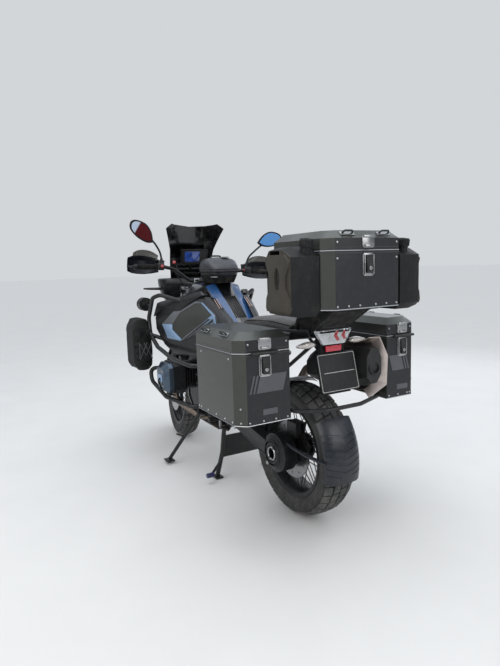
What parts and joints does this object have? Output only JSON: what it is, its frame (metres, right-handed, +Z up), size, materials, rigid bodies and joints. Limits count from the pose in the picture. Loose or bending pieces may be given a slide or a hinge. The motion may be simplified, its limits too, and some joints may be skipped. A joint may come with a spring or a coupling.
{
  "type": "adventure motorcycle",
  "caption": "Boxer adventure motorcycle on its centre stand, with hinged-lid aluminium luggage, fuel cans, crash bars and tall screen.",
  "frame": {"origin": "on the ground under the middle of the overall length and width", "axes": "+X ahead, +Y to the rider's left, +Z up"},
  "size_m": [2.3029, 0.9726, 1.4979],
  "materials": {
    "tyre": "black rubber tread blocks and smooth sidewalls",
    "black_rim": "black anodised rim and hub with bright wire spokes",
    "disc_steel": "drilled stainless brake disc",
    "fork_black": "satin black and silver cast alloy",
    "fork_chrome": "polished hard chrome",
    "bar_black": "satin black anodised",
    "rubber_black": "moulded rubber and black plastic controls",
    "mirror_black": "black moulded shell with mirror glass",
    "guard_black": "grained black plastic",
    "engine_silver": "bead blasted cast alloy",
    "cover_silver": "silver blue painted cast alloy",
    "frame_black": "black powder coat",
    "tank_black": "gloss black lacquer",
    "panel_grey": "matt dark grey with silver border",
    "seat_grey": "grained dark grey seat cover",
    "bag_fabric": "woven nylon",
    "lamp_lens": "clear lens over reflectors",
    "beak_black": "satin black plastic",
    "screen_smoke": "dark smoked screen",
    "bar_guard": "black coated tube",
    "radiator_black": "black finned core",
    "skid_alloy": "brushed alloy plate",
    "exhaust_steel": "heat tinted stainless",
    "silencer_satin": "satin stainless with angular guard",
    "channel_bright": "bright satin sheet, slightly rosy",
    "case_black": "black coated sheet with bare worn edges",
    "can_black": "moulded black plastic",
    "shock_steel": "steel spring over damper",
    "stand_black": "black paint, worn at the feet",
    "lamp_red": "clear and red lamp lens"
  },
  "bodies": {
    "frame": {"engine_block": "engine_silver", "cylinders": "cover_silver", "main_frame": "frame_black", "rear_frame": "frame_black", "fuel_tank": "tank_black", "tank_panels": "panel_grey", "rider_seat": "seat_grey", "passenger_seat": "seat_grey", "tank_bag": "bag_fabric", "front_carrier": "frame_black", "head_lamp": "lamp_lens", "front_beak": "beak_black", "windscreen": "screen_smoke", "upper_crash_bars": "bar_guard", "lower_crash_bars": "bar_guard", "fog_lamps": "bar_guard", "left_bar_bag": "bag_fabric", "right_bar_bag": "bag_fabric", "radiators": "radiator_black", "skid_plate": "skid_alloy", "front_wishbone": "fork_black", "swingarm": "fork_black", "rear_shock": "shock_steel", "rear_mudguards": "guard_black", "rear_lamps": "lamp_red", "plate_holder": "guard_black", "exhaust_pipes": "exhaust_steel", "silencer": "silencer_satin", "case_channel": "channel_bright", "footrests": "stand_black", "left_pannier": "case_black", "right_pannier": "case_black", "top_case": "case_black", "pannier_racks": "bar_guard", "luggage_bridge": "bar_guard", "left_fuel_can": "can_black", "right_fuel_can": "can_black"},
    "steering": {"fork_sliders": "fork_black", "fork_tubes": "fork_chrome", "handlebar": "bar_black", "bar_controls": "rubber_black", "mirrors": "mirror_black", "hand_guards": "guard_black", "front_mudguard": "beak_black"},
    "front_wheel": {"front_tyre": "tyre", "front_wheel": "black_rim", "front_discs": "disc_steel"},
    "rear_wheel": {"rear_tyre": "tyre", "rear_wheel": "black_rim", "rear_disc": "disc_steel"},
    "centre_stand": {"centre_stand": "stand_black"},
    "side_stand": {"side_stand": "stand_black"},
    "top_case_lid": {"top_case_lid": "case_black"},
    "left_pannier_lid": {"left_pannier_lid": "case_black"},
    "right_pannier_lid": {"right_pannier_lid": "case_black"}
  },
  "joints": [
    {"name": "steering_turn", "type": "hinge", "parent": "frame", "child": "steering", "pos_m": [0.78238, 0, 0.30382], "axis": [-0.421, 0, 0.907], "range_deg": [-26, 46]},
    {"name": "front_wheel_spin", "type": "hinge", "parent": "steering", "child": "front_wheel", "pos_m": [0.82731, -0.00873, 0.32468], "axis": [0.1575, 0.9848, 0.0731], "continuous": true},
    {"name": "rear_wheel_spin", "type": "hinge", "parent": "frame", "child": "rear_wheel", "pos_m": [-0.676, 0, 0.33], "axis": [0, 1, 0], "continuous": true},
    {"name": "centre_stand_fold", "type": "hinge", "parent": "frame", "child": "centre_stand", "pos_m": [-0.116, 0, 0.3], "axis": [0, 1, 0], "range_deg": [0, 78]},
    {"name": "side_stand_fold", "type": "hinge", "parent": "frame", "child": "side_stand", "pos_m": [0.114, 0.178, 0.35], "axis": [0.0444, 0.9069, 0.419], "range_deg": [0, 110]},
    {"name": "top_case_lid_hinge", "type": "hinge", "parent": "frame", "child": "top_case_lid", "pos_m": [-0.741, 0, 1.2513], "axis": [0, 1, 0], "range_deg": [0, 95]},
    {"name": "left_pannier_lid_hinge", "type": "hinge", "parent": "frame", "child": "left_pannier_lid", "pos_m": [-0.962, 0.3635, 0.8673], "axis": [0, -1, 0], "range_deg": [0, 36]},
    {"name": "right_pannier_lid_hinge", "type": "hinge", "parent": "frame", "child": "right_pannier_lid", "pos_m": [-0.962, -0.387, 0.8673], "axis": [0, -1, 0], "range_deg": [0, 36]}
  ]
}
